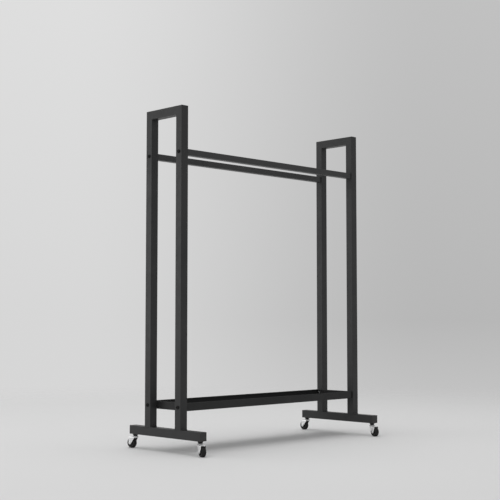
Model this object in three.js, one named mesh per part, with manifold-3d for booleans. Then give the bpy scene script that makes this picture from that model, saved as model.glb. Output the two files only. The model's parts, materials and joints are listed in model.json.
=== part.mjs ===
import * as THREE from 'three';
import { mergeVertices } from 'three/addons/utils/BufferGeometryUtils.js';
import Module from 'manifold-3d';

// A display stand on four swivel casters: two welded end frames of square tube, two bolted rails
// that things hang between by their heads, and a sheet tray near the floor.
// Millimetres. +X runs along the stand to the right, +Y to its back, +Z up. The floor is at Z = 0.

// Overall sizes of the welded end frames
const frameLength = 780;
const frameDepth = 158;
const frameHeight = 950;
const footLength = 310;
const footForwardShift = 6;

// Square tube of the end frames
const tubeSize = 25;
const tubeWall = 1.5;
const tubeCorner = 1;

// Two rails, measured to their centre line from the top of the end frames
const railSize = 18;
const railWall = 1.2;
const railCorner = 0.8;
const railDrop = 133.5;

// Folded sheet tray, measured to its middle from the underside of the foot bars
const trayCentreHeight = 88.5;
const trayHeight = 23;
const traySheet = 1.2;
const trayCorner = 4;
const trayBend = 1.8;
const trayHemHeight = 4;

// Bolts that hold the rails and the tray to the posts
const boltRadius = 3;
const boltHeadRadius = 5.25;
const boltHeadHeight = 3.3;
const boltHeadFlat = 0.6;
const boltSocketFlats = 4;
const boltSocketDepth = 2;
const railBoltLength = 40;
const trayBoltLength = 35;
const boltTipChamfer = 0.8;

// Threaded insert in each rail end and hex nut inside the tray
const insertLength = 17;
const trayNutFlats = 10;
const trayNutHeight = 5;

// Plug in each foot bar end
const plugFlange = 2.4;
const plugRounding = 0.8;
const plugSkirtLength = 12;
const plugSkirtWall = 1.6;

// Nut welded inside each foot bar, over the caster stem
const footNutFlats = 13;
const footNutHeight = 6.5;
const nutChamfer = 0.7;

// Caster: its swivel's distance from the foot bar's end, its trail, its stem, its race and its collar
const casterInset = 12.5;
const casterTrail = 14;
const stemRadius = 4;
const stemReach = 13;
const stemRivetRadius = 6;
const stemRivetHeight = 2;
const raceRadius = 8.5;
const raceHeight = 2.3;
const raceRounding = 0.7;
const collarHeight = 5.7;
const collarTopRadius = 8;
const collarBottomRadius = 5.8;
const collarRounding = 0.8;

// Fork of bent sheet steel
const forkSheet = 1.6;
const forkBend = 2.4;
const forkCrownClearance = 1.5;
const forkTail = 8;
const forkTailCorner = 4;
const forkThroat = 3;
const forkBossRadius = 5;
const forkBossStart = THREE.MathUtils.degToRad(-144);
const forkBossEnd = THREE.MathUtils.degToRad(11);
const forkFillet = 2.5;

// Wheel, tyre and axle
const tyreRadius = 15;
const tyreWidth = 13;
const tyreThickness = 3.6;
const tyreShoulder = 2.4;
const wheelHubRadius = 5.4;
const wheelHubStandout = 0.7;
const wheelRimThickness = 1.8;
const wheelRimDraft = 0.9;
const wheelRimInset = 0.5;
const wheelWebThickness = 5;
const axleRadius = 2.5;
const axleHeadRadius = 4.6;
const axleHeadHeight = 1.8;
const axleHeadEdge = 0.5;

// Which way each wheel trails, in degrees from +X towards +Y
const casterHeadings = { left_front: -109, left_back: 95, right_front: -104, right_back: 86 };

// Clearances: between welded pieces, between seated or running pieces, and of a bolt in its hole
const weldGap = 0.1;
const seatGap = 0.3;
const boltClearance = 0.3;

// How far a cutting solid runs past what it cuts, and how near two vertices are one
const overrun = 4;
const vertexTolerance = 0.0001;

// Steps of the round stretches
const cornerSteps = 2;
const boreSteps = 12;
const boltSteps = 12;
const stemSteps = 16;
const tyreSteps = 28;
const wheelSteps = 18;
const axleSteps = 12;
const forkSteps = 3;

// Places worked out from the sizes above
const postCentreX = frameLength / 2 - tubeSize / 2;
const postCentreY = frameDepth / 2 - tubeSize / 2;
const spanLength = frameLength - 2 * tubeSize - 2 * seatGap;
const trayDepth = 2 * postCentreY + railSize;
const boltHoleRadius = boltRadius + boltClearance;
const stemHoleRadius = stemRadius + seatGap;
const axleHoleRadius = axleRadius + seatGap;
const casterY = footLength / 2 - casterInset;
const crownUnderside = 2 * tyreRadius + forkCrownClearance;
const crownTop = crownUnderside + forkSheet;
const raceBottom = crownTop + seatGap;
const raceTop = raceBottom + raceHeight;
const casterHeight = raceTop + collarHeight + 2 * seatGap;
const footTop = casterHeight + tubeSize;
const frameTop = casterHeight + frameHeight;
const railCentreZ = frameTop - railDrop;
const trayCentreZ = casterHeight + trayCentreHeight;
const rimRadius = tyreRadius - tyreThickness;
const rimHalfWidth = tyreWidth / 2 - wheelRimInset;
const hubHalfLength = tyreWidth / 2 + wheelHubStandout;
const forkInnerHalf = hubHalfLength + seatGap;
const forkOuterHalf = forkInnerHalf + forkSheet;

// The tyre stands on the flat between two of its steps, so the axle is a little under its radius
const axleHeight = tyreRadius * Math.cos(Math.PI / tyreSteps);

// Finishes
const finish = (color, roughness, metalness) => new THREE.MeshStandardMaterial({ color, roughness, metalness });
const materials = {
  powderCoat: finish(0x2b2c2e, 0.55, 0.1),
  blackPlastic: finish(0x1e1f20, 0.6, 0),
  blackBolt: finish(0x161617, 0.45, 0.6),
  zinc: finish(0xbfc3c8, 0.3, 0.9),
  tyre: finish(0x19191a, 0.8, 0),
};

const wasm = await Module();
wasm.setup();

// Solids and booleans

function toSolid(geometry) {
  const bare = geometry.clone();
  for (const name of Object.keys(bare.attributes)) {
    if (name !== 'position') bare.deleteAttribute(name);
  }
  const merged = mergeVertices(bare, vertexTolerance);
  const corners = merged.index.array;
  const kept = [];
  for (let i = 0; i < corners.length; i += 3) {
    const [a, b, c] = [corners[i], corners[i + 1], corners[i + 2]];
    if (a !== b && b !== c && c !== a) kept.push(a, b, c);
  }
  const vertProperties = new Float32Array(merged.attributes.position.array);
  return new wasm.Manifold(new wasm.Mesh({ numProp: 3, vertProperties, triVerts: new Uint32Array(kept) }));
}

function toGeometry(solid) {
  const mesh = solid.getMesh();
  const geometry = new THREE.BufferGeometry();
  geometry.setAttribute('position', new THREE.BufferAttribute(mesh.vertProperties, 3));
  geometry.setIndex(new THREE.BufferAttribute(mesh.triVerts, 1));
  geometry.computeVertexNormals();
  return geometry;
}

function cut(geometry, ...cutters) {
  const solid = cutters.reduce((rest, cutter) => rest.subtract(toSolid(cutter)), toSolid(geometry));
  return toGeometry(solid);
}

function join(...geometries) {
  return toGeometry(geometries.map(toSolid).reduce((sum, solid) => sum.add(solid)));
}

function intersect(...geometries) {
  return toGeometry(geometries.map(toSolid).reduce((rest, solid) => rest.intersect(solid)));
}

// Outlines and basic forms

function roundedRectangle(width, height, radius) {
  const [x, y] = [width / 2 - radius, height / 2 - radius];
  const outline = new THREE.Shape();
  outline.absarc(x, -y, radius, -Math.PI / 2, 0);
  outline.absarc(x, y, radius, 0, Math.PI / 2);
  outline.absarc(-x, y, radius, Math.PI / 2, Math.PI);
  outline.absarc(-x, -y, radius, Math.PI, 1.5 * Math.PI);
  outline.closePath();
  return outline;
}

function extrude(outline, depth, curveSegments = cornerSteps) {
  return new THREE.ExtrudeGeometry(outline, { depth, bevelEnabled: false, curveSegments });
}

// A solid turned about the Z axis; the profile is a list of [radius, z], up along the outside
function turned(profile, steps, phase = 0) {
  const points = profile.map(([radius, z]) => new THREE.Vector2(radius, z));
  return new THREE.LatheGeometry(points, steps, phase).rotateX(Math.PI / 2);
}

function ring(profile, steps, phase = 0) {
  return turned([...profile, profile[0]], steps, phase);
}

function rod(radius, length, steps = boreSteps) {
  return new THREE.CylinderGeometry(radius, radius, length, steps).rotateX(Math.PI / 2);
}

// A hexagonal bar along Z, its flats facing X
function hexBar(flats, length) {
  return rod(flats / Math.sqrt(3), length, 6);
}

// A solid skinned over closed rings of points that lie above each other
function skinned(rings) {
  const count = rings[0].length;
  const vertices = rings.flat().flatMap((point) => point.toArray());
  const corners = [];
  for (let level = 0; level + 1 < rings.length; level++) {
    for (let i = 0; i < count; i++) {
      const [a, b] = [level * count + i, level * count + (i + 1) % count];
      corners.push(a, b, b + count, a, b + count, a + count);
    }
  }
  const top = (rings.length - 1) * count;
  for (let i = 1; i + 1 < count; i++) {
    corners.push(0, i + 1, i, top, top + i, top + i + 1);
  }
  const geometry = new THREE.BufferGeometry();
  geometry.setAttribute('position', new THREE.Float32BufferAttribute(vertices, 3));
  geometry.setIndex(corners);
  return geometry;
}

function rectangleRing(width, depth, radius, z) {
  const points = roundedRectangle(width, depth, radius).extractPoints(cornerSteps).shape;
  return points.map(({ x, y }) => new THREE.Vector3(x, y, z));
}

// A rounded block whose lower edges are rolled to a radius, standing on Z = 0
function rolledBlock(width, depth, height, corner, roll) {
  const rings = [];
  for (let step = 0; step <= cornerSteps; step++) {
    const turn = (step / cornerSteps) * (Math.PI / 2);
    const inset = roll * (1 - Math.sin(turn));
    const level = roll * (1 - Math.cos(turn));
    rings.push(rectangleRing(width - 2 * inset, depth - 2 * inset, corner - inset, level));
  }
  rings.push(rectangleRing(width, depth, corner, height));
  return skinned(rings);
}

// Square tube along Z; a mitred end is cut back at 45 degrees from its -Y side
function squareTube({ length, size, wall, corner, startMitre = 0, endMitre = 0 }) {
  const outline = roundedRectangle(size, size, corner);
  const bore = size - 2 * wall;
  outline.holes.push(roundedRectangle(bore, bore, Math.max(corner - wall, wall / 4)));
  const geometry = extrude(outline, length);
  const position = geometry.attributes.position;
  for (let i = 0; i < position.count; i++) {
    const setBack = position.getY(i) + size / 2;
    const atEnd = position.getZ(i) > length / 2;
    position.setZ(i, atEnd ? length - endMitre * setBack : startMitre * setBack);
  }
  return geometry;
}

const frameTube = (sizes) => squareTube({ size: tubeSize, wall: tubeWall, corner: tubeCorner, ...sizes });

// End frames

// A post from the foot bar up to its mitre, with the cross holes of its two bolts
function post() {
  const length = frameTop - footTop - weldGap;
  const holes = [railCentreZ, trayCentreZ].map((height) =>
    rod(boltHoleRadius, tubeSize + 2 * overrun)
      .rotateY(Math.PI / 2)
      .translate(0, 0, height - footTop - weldGap));
  return cut(frameTube({ length, endMitre: 1 }), ...holes);
}

function topBar() {
  const length = frameDepth - 2 * weldGap;
  return frameTube({ length, startMitre: 1, endMitre: 1 })
    .translate(0, 0, -length / 2)
    .rotateX(-Math.PI / 2);
}

// A foot bar lies on its casters, with a stem hole in its lower wall near each end
function footBar() {
  const length = footLength - 2 * plugFlange - 2 * seatGap;
  const bar = frameTube({ length }).translate(0, 0, -length / 2).rotateX(-Math.PI / 2);
  const holes = [-casterY, casterY].map((y) =>
    rod(stemHoleRadius, tubeSize / 2).translate(0, y, -tubeSize / 2));
  return cut(bar, ...holes);
}

// A plug points its flange to +Z; its skirt straddles the nut that sits inside the bar end
function footPlug() {
  const inner = tubeSize - 2 * plugRounding;
  const flange = skinned([
    rectangleRing(tubeSize, tubeSize, tubeCorner, 0),
    rectangleRing(tubeSize, tubeSize, tubeCorner, plugFlange - plugRounding),
    rectangleRing(inner, inner, tubeCorner - plugRounding, plugFlange),
  ]);
  const outer = tubeSize - 2 * tubeWall - 2 * seatGap;
  const skirtOutline = roundedRectangle(outer, outer, plugSkirtWall);
  const hollow = outer - 2 * plugSkirtWall;
  skirtOutline.holes.push(roundedRectangle(hollow, hollow, plugSkirtWall / 2));
  const skirt = extrude(skirtOutline, plugSkirtLength + plugFlange / 2).translate(0, 0, -plugSkirtLength);
  const passage = new THREE.BoxGeometry(footNutFlats + 2 * seatGap, tubeSize, plugSkirtLength)
    .translate(0, -tubeSize / 2, -plugSkirtLength / 2 - seatGap);
  return join(flange, cut(skirt, passage));
}

// Rails, tray and their fasteners

function rail() {
  return squareTube({ length: spanLength, size: railSize, wall: railWall, corner: railCorner })
    .translate(0, 0, -spanLength / 2)
    .rotateY(Math.PI / 2);
}

function railInsert() {
  const size = railSize - 2 * railWall - 2 * seatGap;
  const block = extrude(roundedRectangle(size, size, railCorner / 2), insertLength);
  return cut(block, rod(boltHoleRadius, 2 * insertLength + 2 * overrun)).rotateY(Math.PI / 2);
}

// An open pan folded from one sheet, its rim hemmed inward, with a bolt hole near each corner
function tray() {
  const shell = rolledBlock(spanLength, trayDepth, trayHeight, trayCorner, trayBend);
  const below = trayHeight - traySheet - trayHemHeight;
  const inside = rolledBlock(spanLength - 2 * traySheet, trayDepth - 2 * traySheet, below,
    trayCorner - traySheet, trayBend - traySheet).translate(0, 0, traySheet);
  const mouthCorner = trayCorner - 2 * traySheet;
  const mouthOutline = roundedRectangle(spanLength - 4 * traySheet, trayDepth - 4 * traySheet, mouthCorner);
  const mouth = extrude(mouthOutline, trayHeight).translate(0, 0, trayHeight / 2);
  const holes = [-postCentreY, postCentreY].map((y) =>
    rod(boltHoleRadius, spanLength + 2 * overrun).rotateY(Math.PI / 2).translate(0, y, trayHeight / 2));
  return cut(shell, inside, mouth, ...holes).translate(0, 0, -trayHeight / 2);
}

// A button-head bolt whose shank runs from Z = 0 down, with a hexagonal socket in its domed head
function buttonBolt(length) {
  const dome = [1, 2].map((step) => {
    const turn = (step / 3) * (Math.PI / 2);
    const rise = (boltHeadHeight - boltHeadFlat) * Math.sin(turn);
    return [boltSocketFlats + (boltHeadRadius - boltSocketFlats) * Math.cos(turn), boltHeadFlat + rise];
  });
  const body = turned([
    [0, -length],
    [boltRadius - boltTipChamfer, -length],
    [boltRadius, boltTipChamfer - length],
    [boltRadius, 0],
    [boltHeadRadius, 0],
    [boltHeadRadius, boltHeadFlat],
    ...dome,
    [0, boltHeadHeight],
  ], boltSteps);
  const socket = hexBar(boltSocketFlats, 2 * boltSocketDepth).translate(0, 0, boltHeadHeight);
  return cut(body, socket);
}

// A hex nut standing on Z = 0, its corners chamfered on top
function hexNut(flats, height, holeRadius) {
  const corner = flats / Math.sqrt(3);
  const blank = hexBar(flats, height).translate(0, 0, height / 2);
  const turnedBlank = turned([
    [0, -overrun],
    [corner + nutChamfer, -overrun],
    [corner + nutChamfer, height - 2 * nutChamfer],
    [corner - nutChamfer, height],
    [0, height],
  ], boltSteps);
  const hole = rod(holeRadius, 2 * height + 2 * overrun);
  return cut(intersect(blank, turnedBlank), hole);
}

// Casters: the swivel axis is Z and the wheel trails along +X

// Threaded stem with its upper bearing race and the riveted end under the fork's crown
function casterStem() {
  const rivetTop = crownUnderside - seatGap;
  return toGeometry(toSolid(turned([
    [0, rivetTop - stemRivetHeight],
    [stemRivetRadius - stemRivetHeight / 2, rivetTop - stemRivetHeight],
    [stemRivetRadius, rivetTop - stemRivetHeight / 2],
    [stemRivetRadius, rivetTop],
    [stemRadius, rivetTop],
    [stemRadius, raceBottom],
    [raceRadius, raceBottom],
    [raceRadius, raceTop - raceRounding],
    [raceRadius - raceRounding, raceTop],
    [stemRadius, raceTop],
    [stemRadius, casterHeight + stemReach - boltTipChamfer],
    [stemRadius - boltTipChamfer, casterHeight + stemReach],
    [0, casterHeight + stemReach],
  ], stemSteps)));
}

// Black cone between the race and the foot bar
function casterCollar() {
  const [bottom, top] = [raceTop + seatGap, casterHeight - seatGap];
  return ring([
    [stemHoleRadius, bottom],
    [collarBottomRadius, bottom],
    [collarTopRadius, top - collarRounding],
    [collarTopRadius - collarRounding, top],
    [stemHoleRadius, top],
  ], stemSteps);
}

// One leg's outline in the plane of the wheel: X along the trail, Y up
function forkSide() {
  const outline = new THREE.Shape();
  const tail = casterTrail + forkTail;
  outline.moveTo(-forkOuterHalf, crownUnderside);
  outline.lineTo(-forkThroat - forkFillet, crownUnderside);
  outline.quadraticCurveTo(-forkThroat, crownUnderside, -forkThroat + forkFillet / 2,
    crownUnderside - forkFillet);
  outline.absarc(casterTrail, axleHeight, forkBossRadius, forkBossStart, forkBossEnd);
  outline.quadraticCurveTo(tail - forkFillet / 2, (axleHeight + crownUnderside) / 2, tail, crownUnderside);
  outline.lineTo(tail, crownTop);
  outline.lineTo(-forkOuterHalf, crownTop);
  outline.closePath();
  return outline;
}

// The crown's outline from above: round about the swivel, squarer over the wheel
function forkPlan() {
  const tail = casterTrail + forkTail;
  const outline = new THREE.Shape();
  outline.absarc(0, 0, forkOuterHalf, Math.PI / 2, 1.5 * Math.PI);
  outline.absarc(tail - forkTailCorner, forkTailCorner - forkOuterHalf, forkTailCorner, -Math.PI / 2, 0);
  outline.absarc(tail - forkTailCorner, forkOuterHalf - forkTailCorner, forkTailCorner, 0, Math.PI / 2);
  outline.closePath();
  return outline;
}

// The bent sheet seen end on: an upside-down U
function forkSection() {
  const [outer, inner] = [forkOuterHalf, forkInnerHalf];
  const innerBend = forkBend - forkSheet;
  const outline = new THREE.Shape();
  outline.moveTo(-outer, 0);
  outline.lineTo(-inner, 0);
  outline.lineTo(-inner, crownUnderside - innerBend);
  outline.absarc(innerBend - inner, crownUnderside - innerBend, innerBend, Math.PI, Math.PI / 2, true);
  outline.absarc(inner - innerBend, crownUnderside - innerBend, innerBend, Math.PI / 2, 0, true);
  outline.lineTo(inner, 0);
  outline.lineTo(outer, 0);
  outline.absarc(outer - forkBend, crownTop - forkBend, forkBend, 0, Math.PI / 2);
  outline.absarc(forkBend - outer, crownTop - forkBend, forkBend, Math.PI / 2, Math.PI);
  outline.closePath();
  return outline;
}

function casterFork() {
  const reach = 2 * (casterTrail + forkTail + overrun);
  const side = extrude(forkSide(), 2 * forkOuterHalf, forkSteps)
    .translate(0, 0, -forkOuterHalf)
    .rotateX(Math.PI / 2);
  const plan = extrude(forkPlan(), crownTop + overrun, forkSteps);
  const section = extrude(forkSection(), reach, cornerSteps)
    .translate(0, 0, -reach / 2)
    .rotateX(Math.PI / 2)
    .rotateZ(Math.PI / 2);
  const swivelHole = rod(stemHoleRadius, 2 * forkSheet + 2 * overrun, stemSteps).translate(0, 0, crownTop);
  const axleHole = rod(axleHoleRadius, 2 * forkOuterHalf + 2 * overrun, axleSteps)
    .rotateX(Math.PI / 2)
    .translate(casterTrail, 0, axleHeight);
  return cut(intersect(side, plan, section), swivelHole, axleHole);
}

// Pieces turned about the wheel's axle, which lies along Y
const aboutAxle = (geometry) => geometry.rotateX(Math.PI / 2).translate(casterTrail, 0, axleHeight);

function casterAxle() {
  const head = forkOuterHalf + seatGap;
  const halfProfile = [
    [axleRadius, head],
    [axleHeadRadius, head],
    [axleHeadRadius, head + axleHeadEdge],
    [(axleRadius + axleHeadRadius) / 2, head + axleHeadHeight],
    [0, head + axleHeadHeight],
  ];
  const mirrored = halfProfile.map(([radius, along]) => [radius, -along]).reverse();
  return toGeometry(toSolid(aboutAxle(turned([...mirrored, ...halfProfile], axleSteps))));
}

function casterWheel() {
  const half = [
    [rimRadius - seatGap, rimHalfWidth],
    [rimRadius - wheelRimThickness, rimHalfWidth],
    [rimRadius - wheelRimThickness - wheelRimDraft, wheelWebThickness / 2],
    [wheelHubRadius, wheelWebThickness / 2],
    [wheelHubRadius, hubHalfLength],
    [axleHoleRadius, hubHalfLength],
  ];
  const mirrored = half.map(([radius, along]) => [radius, -along]).reverse();
  return aboutAxle(ring([...mirrored, ...half], wheelSteps));
}

function casterTyre() {
  const half = tyreWidth / 2;
  const flat = half - tyreShoulder;
  const profile = [[rimRadius, -half], [tyreRadius - tyreShoulder, -half]];
  for (let step = 1; step <= cornerSteps; step++) {
    const turn = (step / cornerSteps) * (Math.PI / 2);
    profile.push([tyreRadius - tyreShoulder * (1 - Math.sin(turn)), -flat - tyreShoulder * Math.cos(turn)]);
  }
  const mirrored = profile.map(([radius, along]) => [radius, -along]).reverse();
  return aboutAxle(ring([...profile, ...mirrored], tyreSteps, Math.PI / tyreSteps));
}

// Assembly

const stand = new THREE.Group();
stand.name = 'racket_display_stand';

function add(parent, name, geometry, material, x, y, z) {
  const piece = new THREE.Mesh(geometry, material);
  piece.name = name;
  piece.position.set(x, y, z);
  parent.add(piece);
  return piece;
}

const ends = [['left', -1], ['right', 1]];
const faces = [['front', -1], ['back', 1]];
const footY = -footForwardShift;
const trayNutX = spanLength / 2 - traySheet - seatGap;

const steel = materials.powderCoat;

for (const [end, side] of ends) {
  add(stand, `${end}_top_bar`, topBar(), steel, side * postCentreX, 0, frameTop - tubeSize / 2);
  add(stand, `${end}_foot_bar`, footBar(), steel, side * postCentreX, footY, casterHeight + tubeSize / 2);
}

for (const [face, sign] of faces) {
  add(stand, `${face}_rail`, rail(), steel, 0, sign * postCentreY, railCentreZ);
}

add(stand, 'tray', tray(), steel, 0, 0, trayCentreZ);

// A corner's own fasteners lie along X and point their heads away from the middle of the stand
function addFasteners(corner, side, y) {
  const outward = (side * Math.PI) / 2;
  const headX = side * (frameLength / 2 + seatGap);
  const [railBolt, trayBolt] = [buttonBolt(railBoltLength), buttonBolt(trayBoltLength)];
  const { blackBolt, zinc } = materials;
  add(stand, `${corner}_rail_bolt`, railBolt, blackBolt, headX, y, railCentreZ).rotation.y = outward;
  add(stand, `${corner}_tray_bolt`, trayBolt, blackBolt, headX, y, trayCentreZ).rotation.y = outward;
  const insertX = side > 0 ? spanLength / 2 - insertLength : -spanLength / 2;
  add(stand, `${corner}_rail_insert`, railInsert(), zinc, insertX, y, railCentreZ);
  const nut = hexNut(trayNutFlats, trayNutHeight, boltHoleRadius);
  add(stand, `${corner}_tray_nut`, nut, zinc, side * trayNutX, y, trayCentreZ).rotation.y = -outward;
}

function addFootEnd(corner, x, sign) {
  const plugY = footY + sign * (footLength / 2 - plugFlange);
  const plug = add(stand, `${corner}_foot_plug`, footPlug(), materials.blackPlastic, x, plugY,
    casterHeight + tubeSize / 2);
  plug.rotation.set(Math.PI / 2, 0, sign > 0 ? Math.PI : 0, 'ZXY');
  const nut = hexNut(footNutFlats, footNutHeight, stemHoleRadius);
  add(stand, `${corner}_foot_nut`, nut, materials.zinc, x, footY + sign * casterY,
    casterHeight + tubeWall + seatGap);
}

function addCaster(corner, x, y) {
  const caster = new THREE.Group();
  caster.position.set(x, y, 0);
  caster.rotation.z = THREE.MathUtils.degToRad(casterHeadings[corner]);
  stand.add(caster);
  add(caster, `${corner}_caster_stem`, casterStem(), materials.zinc, 0, 0, 0);
  add(caster, `${corner}_caster_collar`, casterCollar(), materials.blackPlastic, 0, 0, 0);
  add(caster, `${corner}_caster_fork`, casterFork(), materials.zinc, 0, 0, 0);
  add(caster, `${corner}_caster_axle`, casterAxle(), materials.zinc, 0, 0, 0);
  add(caster, `${corner}_caster_wheel`, casterWheel(), materials.blackPlastic, 0, 0, 0);
  add(caster, `${corner}_caster_tyre`, casterTyre(), materials.tyre, 0, 0, 0);
}

for (const [end, side] of ends) {
  for (const [face, sign] of faces) {
    const corner = `${end}_${face}`;
    const x = side * postCentreX;
    const upright = add(stand, `${corner}_post`, post(), steel, x, sign * postCentreY, footTop + weldGap);
    upright.rotation.z = sign > 0 ? Math.PI : 0;
    addFasteners(corner, side, sign * postCentreY);
    addFootEnd(corner, x, sign);
    addCaster(corner, x, footY + sign * casterY);
  }
}

// The origin is on the floor, under the middle of the stand's footprint with its wheels turned
const middle = new THREE.Box3().setFromObject(stand, true).getCenter(new THREE.Vector3());
stand.position.set(-middle.x, -middle.y, 0);

export default stand;
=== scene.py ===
import json
import math

import bmesh
import bpy
from mathutils import Matrix, Vector


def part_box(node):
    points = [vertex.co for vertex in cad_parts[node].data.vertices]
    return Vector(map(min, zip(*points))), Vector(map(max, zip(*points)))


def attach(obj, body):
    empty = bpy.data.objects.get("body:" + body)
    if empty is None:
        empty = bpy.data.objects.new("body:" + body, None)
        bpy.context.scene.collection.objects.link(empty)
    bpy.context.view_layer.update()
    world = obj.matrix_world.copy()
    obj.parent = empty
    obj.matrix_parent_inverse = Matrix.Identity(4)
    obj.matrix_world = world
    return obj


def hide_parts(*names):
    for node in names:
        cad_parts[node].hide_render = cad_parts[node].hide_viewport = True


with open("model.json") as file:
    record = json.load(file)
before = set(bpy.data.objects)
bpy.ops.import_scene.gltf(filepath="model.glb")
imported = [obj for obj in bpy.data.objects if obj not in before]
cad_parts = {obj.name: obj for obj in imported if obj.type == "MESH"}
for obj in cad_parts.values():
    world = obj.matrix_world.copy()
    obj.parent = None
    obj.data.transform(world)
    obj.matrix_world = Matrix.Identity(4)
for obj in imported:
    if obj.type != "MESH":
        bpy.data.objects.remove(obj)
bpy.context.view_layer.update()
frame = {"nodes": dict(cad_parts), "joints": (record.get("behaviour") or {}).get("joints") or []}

# Lengths are in metres, and the sizes of the pieces are written in millimetres
MM = 0.001

UPWARD = Vector((0, 0, 1))

# The ends of the stand along X and its faces along Y, each with the sign of its side
ENDS = {"left": -1, "right": 1}
FACES = {"front": -1, "back": 1}

# Square tubes of the end frames and the rails
TUBE_CORNER = 1 * MM
TUBE_WALL = 1.5 * MM
RAIL_CORNER = 0.8 * MM
RAIL_WALL = 1.2 * MM
SAWN_EDGE = 0.25 * MM
MITRE_EDGE = 0.16 * MM

# Welds: a seam ground flush on each mitre, a run in its inner corner and a run round each post's foot
SEAM_RADIUS = 1 * MM
SEAM_INSET = 1.03 * MM
SEAM_CORNER = 0.3 * MM
INNER_RUN_RADIUS = 1.7 * MM
INNER_RUN_STEPS = 40
FOOT_RUN_RADIUS = 2.0 * MM
FOOT_RUN_INSET = 1.5 * MM
FOOT_RUN_SINK = 0.9 * MM
RUN_STANDOFF = 0.2 * MM
RUN_SIDES = 10
RUN_STEEP = 0.9
RUN_TAPER_STEPS = 5
RUN_END_SHARE = 0.25
RIPPLE_PITCH = 1.7 * MM
RIPPLE_HEIGHT = 0.13 * MM
RIPPLE_STEP = RIPPLE_PITCH / 5
SWELL_LENGTH = 0.83 * MM
SWELL_SHARE = 0.5

# Folded tray
TRAY_SHEET = 1.2 * MM
TRAY_CORNER = 4 * MM
TRAY_LEAST_CORNER = 0.4 * MM
TRAY_BEND = 1.8 * MM
TRAY_FLOOR_MARGIN = 6 * MM
HEM_HEIGHT = 4 * MM
HEM_CREVICE = 0.25 * MM

# Bolts and nuts
BOLT_KINDS = ("rail_bolt", "tray_bolt")
BOLT_RADIUS = 3 * MM
BOLT_HEAD_RADIUS = 5.25 * MM
BOLT_HEAD_HEIGHT = 3.3 * MM
BOLT_HEAD_FLAT = 0.6 * MM
BOLT_HEAD_EDGE = 0.15 * MM
BOLT_TOP_RADIUS = 3.4 * MM
BOLT_TOP_RING = 0.5 * MM
BOLT_SOCKET_FLATS = 4 * MM
BOLT_SOCKET_DEPTH = 2 * MM
BOLT_SOCKET_MOUTH = 0.25 * MM
BOLT_TIP_CHAMFER = 0.8 * MM
THREAD_PITCH = 1 * MM
THREAD_DEPTH = 0.55 * MM
THREAD_LENGTH = 14 * MM
THREAD_STEEPNESS = 2.6
THREAD_FADE = 1.5 * THREAD_PITCH
NUT_FLATS = 10 * MM
NUT_FACE_SHARE = 0.96
NUT_CHAMFER = math.radians(30)
NUT_HOLE_RADIUS = 3.3 * MM
NUT_COUNTERSINK = 0.35 * MM
SEAT_GAP = 0.3 * MM

# Plugs of the foot bars
PLUG_ROUNDING = 0.8 * MM
PLUG_CROWN = 0.25 * MM
PLUG_CROWN_REACH = 9 * MM
PLUG_CROWN_STEPS = 4
PLUG_FLANGE = 2.4 * MM
PLUG_SKIRT_DEPTH = 5 * MM
PLUG_SKIRT_WALL = 1.6 * MM
PLUG_SKIRT_TAPER = 0.6 * MM
PLUG_SKIRT_LEAD = 1 * MM
PLUG_SKIRT_OVERLAP = 0.5 * MM

# Casters: the swivel axis is Z and the wheel trails along +X
STEM_RADIUS = 4 * MM
STEM_ROUNDING = 0.8 * MM
RIVET_RADIUS = 6 * MM
RIVET_HEIGHT = 2 * MM
RIVET_ROUNDING = 1.2 * MM
RACE_RADIUS = 8.5 * MM
RACE_HEIGHT = 2.3 * MM
RACE_ROUNDING = 0.9 * MM
COLLAR_BOTTOM_RADIUS = 5.8 * MM
COLLAR_TOP_RADIUS = 8 * MM
COLLAR_BAND = 1.2 * MM
COLLAR_SHOULDER = 0.8 * MM
COLLAR_TOP_EDGE = 0.35 * MM
FORK_SHEET = 1.6 * MM
FORK_BEND = 2.4 * MM
FORK_HALF = 9.1 * MM
FORK_TAIL = 8 * MM
FORK_TAIL_CORNER = 4 * MM
FORK_THROAT = 3 * MM
FORK_BOSS_RADIUS = 5 * MM
FORK_BOSS_TURN = (math.radians(-144), math.radians(11))
FORK_FILLET = 2.5 * MM
AXLE_RADIUS = 2.5 * MM
AXLE_HEAD_RADIUS = 4.5 * MM
AXLE_HEAD_HEIGHT = 1.75 * MM
AXLE_HEAD_ROUNDING = 1.1 * MM
TYRE_HALF_WIDTH = 6.5 * MM
TYRE_THICKNESS = 3.6 * MM
TYRE_SHOULDER = 2.8 * MM
TYRE_LINE = 0.12 * MM
RIM_HALF_WIDTH = 6 * MM
RIM_THICKNESS = 1.8 * MM
RIM_DRAFT = 0.9 * MM
WEB_HALF = 2.5 * MM
WEB_FILLET = 0.8 * MM
HUB_RADIUS = 5.4 * MM
HUB_HALF = 7.2 * MM
RIBS = 6
RIB_HALF_THICKNESS = 0.6 * MM
RIB_HALF_WIDTH = 4.6 * MM
RIB_IN_HUB = 0.5 * MM
RIB_IN_RIM = 0.3 * MM
FINE_EDGE = 0.2 * MM
BROKEN_EDGE = 0.3 * MM
SOFT_EDGE = 0.4 * MM

# Steps of a quarter turn, of small fillets and domes, of one turn of thread and of whole turns
CORNER_STEPS = 8
FILLET_STEPS = 5
EASED_STEPS = 3
HEM_EDGE_STEPS = 3
DOME_STEPS = 14
THREAD_STEPS = 6
BOLT_STEPS = 36
CASTER_STEPS = 64
TYRE_STEPS = 96
FLOOR_STEPS = 128

# Tolerances of the mesh work, and how far a cutting shape reaches past what it cuts
SAME_POINT = 0.001 * MM
CLOSE_POINTS = 0.01 * MM
SHORT_EDGE = 0.15 * MM
NO_AREA = 1e-14
FLAT_TURN = math.radians(1.5)
SHARP_TURN = math.radians(34)
SHARP_TURN_ON_RUNS = math.radians(60)
OVERRUN = 4 * MM

# How far in from an edge its coat is rubbed thin
COAT_RUB = 0.9 * MM
BOLT_RUB = 0.4 * MM

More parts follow.
